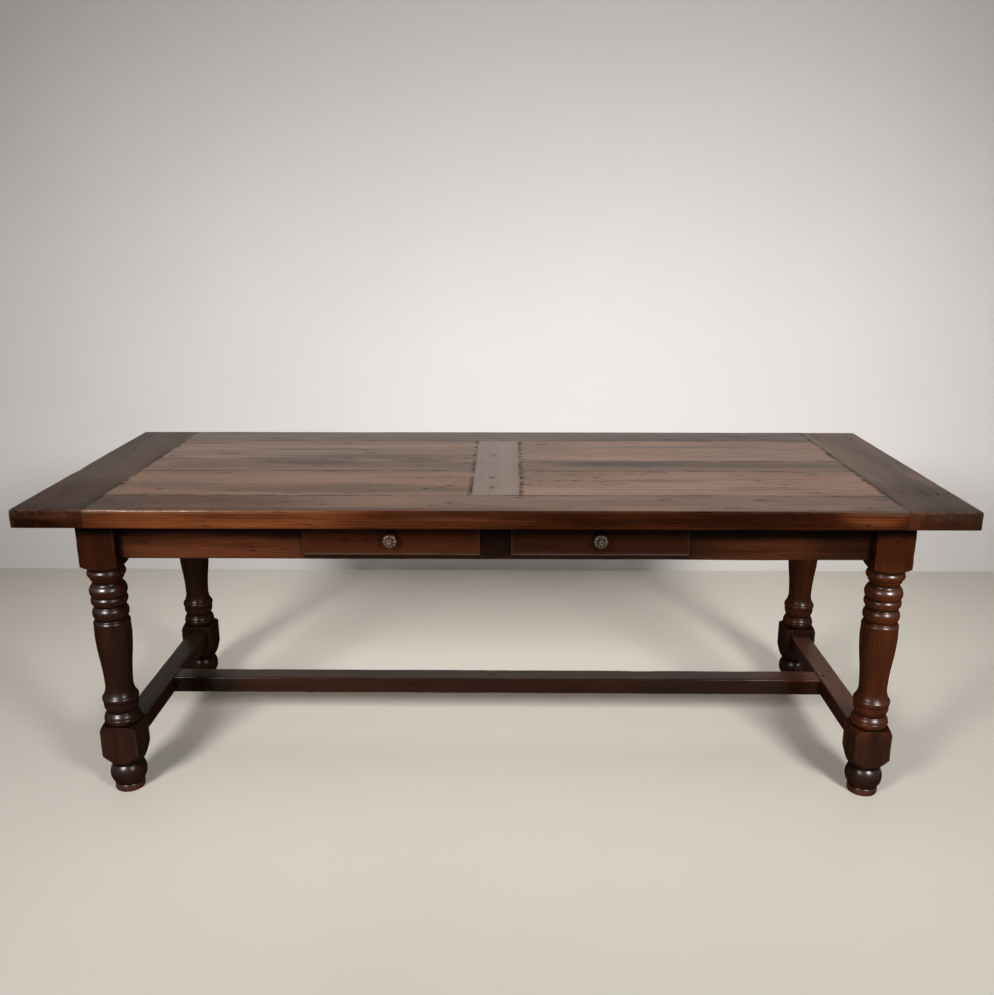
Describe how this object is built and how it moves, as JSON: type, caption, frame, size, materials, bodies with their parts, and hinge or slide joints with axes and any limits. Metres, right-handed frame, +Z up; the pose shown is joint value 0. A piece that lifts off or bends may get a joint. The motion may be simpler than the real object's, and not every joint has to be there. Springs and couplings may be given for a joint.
{
  "type": "refectory table",
  "caption": "Long farmhouse refectory table with a framed plank top, turned baluster legs, an H-shaped stretcher and sliding apron drawers with rosette knobs.",
  "frame": {"origin": "on the floor under the middle of the top", "axes": "+X along the length, +Y to the back, +Z up; the drawers open towards -Y"},
  "size_m": [2.2, 0.866, 0.775],
  "materials": {
    "top_wood": "worn waxed oak, grey-brown, satin",
    "base_wood": "dark red-brown waxed oak, semi-gloss",
    "peg_wood": "dark waxed oak end grain",
    "lining_wood": "unwaxed oak, matt",
    "aged_brass": "cast, worn and tarnished",
    "screw_steel": "dull"
  },
  "bodies": {
    "table": {"top_end_board_left": "top_wood", "top_end_board_right": "top_wood", "top_front_rail": "top_wood", "top_back_rail": "top_wood", "top_muntin": "top_wood", "field_board_left_front": "top_wood", "field_board_left_middle": "top_wood", "field_board_left_back": "top_wood", "field_board_right_front": "top_wood", "field_board_right_middle": "top_wood", "field_board_right_back": "top_wood", "leg_front_left": "base_wood", "leg_front_right": "base_wood", "leg_back_left": "base_wood", "leg_back_right": "base_wood", "front_apron": "base_wood", "back_apron": "base_wood", "left_apron": "base_wood", "right_apron": "base_wood", "left_end_stretcher": "base_wood", "right_end_stretcher": "base_wood", "long_stretcher": "base_wood", "top_pegs": "peg_wood", "apron_pegs": "peg_wood", "stretcher_pegs": "peg_wood", "left_drawer_runner_left": "lining_wood", "left_drawer_runner_right": "lining_wood", "right_drawer_runner_left": "lining_wood", "right_drawer_runner_right": "lining_wood", "centre_bearer": "lining_wood", "drawer_kickers": "lining_wood"},
    "left_drawer": {"left_drawer_front": "base_wood", "left_drawer_left_side": "lining_wood", "left_drawer_right_side": "lining_wood", "left_drawer_back": "lining_wood", "left_drawer_bottom": "lining_wood", "left_drawer_knob": "aged_brass", "left_drawer_knob_screw": "screw_steel"},
    "right_drawer": {"right_drawer_front": "base_wood", "right_drawer_left_side": "lining_wood", "right_drawer_right_side": "lining_wood", "right_drawer_back": "lining_wood", "right_drawer_bottom": "lining_wood", "right_drawer_knob": "aged_brass", "right_drawer_knob_screw": "screw_steel"}
  },
  "joints": [
    {"name": "left_drawer_slide", "type": "slide", "parent": "table", "child": "left_drawer", "axis": [0, -1, 0], "range_m": [0, 0.34]},
    {"name": "right_drawer_slide", "type": "slide", "parent": "table", "child": "right_drawer", "axis": [0, -1, 0], "range_m": [0, 0.34]}
  ]
}
